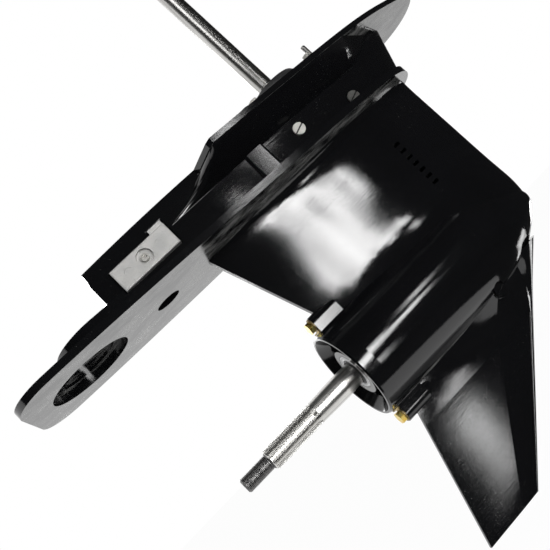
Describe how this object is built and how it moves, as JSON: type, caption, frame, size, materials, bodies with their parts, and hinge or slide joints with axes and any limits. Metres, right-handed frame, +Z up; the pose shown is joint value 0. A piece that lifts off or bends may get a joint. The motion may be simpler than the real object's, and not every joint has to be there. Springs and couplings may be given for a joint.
{
  "type": "outboard motor lower unit",
  "caption": "Lower unit of an outboard motor: upright driveshaft, bevel gears and dog clutch in a finned gearcase with a splined propeller shaft, water pump, anodes and skeg.",
  "frame": {"origin": "where the driveshaft axis meets the flat top mounting face, 256 mm above the propeller shaft axis", "axes": "+Z up along the driveshaft, +X forward to the bow along the propeller shaft, +Y to port"},
  "size_m": [0.625, 0.186, 0.956],
  "materials": {
    "gearcase_paint": "cast aluminium under gloss black marine enamel",
    "shaft_steel": "ground stainless steel",
    "gear_steel": "case-hardened and oiled",
    "bearing_steel": "polished",
    "fastener_steel": "stainless, light wear",
    "yellow_zinc": "steel with yellow zinc plating",
    "zinc": "cast sacrificial metal, matt",
    "seal_rubber": "soft black",
    "pump_plastic": "glass-filled, matt",
    "gasket_fibre": "pressed fibre",
    "bush_bronze": "turned bronze"
  },
  "bodies": {
    "gearcase": {"gearcase_housing": "gearcase_paint", "bearing_carrier": "gearcase_paint", "pump_wear_plate": "shaft_steel", "pump_cup": "shaft_steel", "upper_bearing_nut": "gear_steel", "carrier_needle_shell": "bearing_steel", "carrier_needles": "bearing_steel", "pinion_needle_shell": "bearing_steel", "pinion_needles": "bearing_steel", "forward_bearing_cup": "bearing_steel", "reverse_bearing_cup": "bearing_steel", "upper_bearing_cup": "bearing_steel", "dowel_pins": "bearing_steel", "carrier_bolts": "yellow_zinc", "carrier_lock_tabs": "yellow_zinc", "pump_bolts": "fastener_steel", "oil_level_screw": "fastener_steel", "flush_screw": "fastener_steel", "oil_drain_screw": "fastener_steel", "anode_bolts": "fastener_steel", "starboard_anode": "zinc", "port_anode": "zinc", "carrier_o_ring": "seal_rubber", "prop_shaft_seals": "seal_rubber", "driveshaft_seals": "seal_rubber", "shift_shaft_seal": "seal_rubber", "water_tube_seal": "seal_rubber", "pump_base": "pump_plastic", "pump_housing": "pump_plastic", "pump_gasket": "gasket_fibre", "screw_washers": "gasket_fibre", "shift_bush": "bush_bronze"},
    "driveshaft": {"driveshaft": "shaft_steel", "pinion_gear": "gear_steel", "pinion_nut": "gear_steel", "impeller": "seal_rubber", "impeller_key": "gear_steel", "upper_bearing_cone": "bearing_steel", "upper_bearing_rollers": "bearing_steel"},
    "forward_gear": {"forward_gear": "gear_steel", "forward_bearing_cone": "bearing_steel", "forward_bearing_rollers": "bearing_steel"},
    "reverse_gear": {"reverse_gear": "gear_steel", "reverse_bearing_cone": "bearing_steel", "reverse_bearing_rollers": "bearing_steel"},
    "prop_shaft": {"prop_shaft": "shaft_steel"},
    "clutch_dog": {"clutch_dog": "gear_steel", "cross_pin": "gear_steel", "cross_pin_spring": "bearing_steel", "shift_plunger": "gear_steel"},
    "shift_shaft": {"shift_shaft": "shaft_steel", "shift_crank": "gear_steel"},
    "cam_follower": {"cam_follower": "gear_steel"}
  },
  "joints": [
    {"name": "driveshaft_spin", "type": "hinge", "parent": "gearcase", "child": "driveshaft", "pos_m": [0, 0, 0], "axis": [0, 0, 1], "continuous": true},
    {"name": "forward_gear_spin", "type": "hinge", "parent": "gearcase", "child": "forward_gear", "pos_m": [0, 0, -0.256], "axis": [1, 0, 0], "continuous": true},
    {"name": "reverse_gear_spin", "type": "hinge", "parent": "gearcase", "child": "reverse_gear", "pos_m": [0, 0, -0.256], "axis": [1, 0, 0], "continuous": true},
    {"name": "prop_shaft_spin", "type": "hinge", "parent": "gearcase", "child": "prop_shaft", "pos_m": [0, 0, -0.256], "axis": [1, 0, 0], "continuous": true},
    {"name": "clutch_slide", "type": "slide", "parent": "prop_shaft", "child": "clutch_dog", "axis": [1, 0, 0], "range_m": [-0.00573, 0.00573]},
    {"name": "shift_turn", "type": "hinge", "parent": "gearcase", "child": "shift_shaft", "pos_m": [0.068, 0, 0], "axis": [0, 0, 1], "range_deg": [-35, 35]},
    {"name": "follower_slide", "type": "slide", "parent": "gearcase", "child": "cam_follower", "axis": [1, 0, 0], "range_m": [-0.00574, 0.00574]}
  ],
  "couplings": [
    {"joint": "forward_gear_spin", "follows": "driveshaft_spin", "ratio": -0.5},
    {"joint": "reverse_gear_spin", "follows": "driveshaft_spin", "ratio": 0.5},
    {"joint": "shift_turn", "follows": "clutch_slide", "rad_per_m": -106.5},
    {"joint": "follower_slide", "follows": "clutch_slide", "ratio": 1}
  ]
}
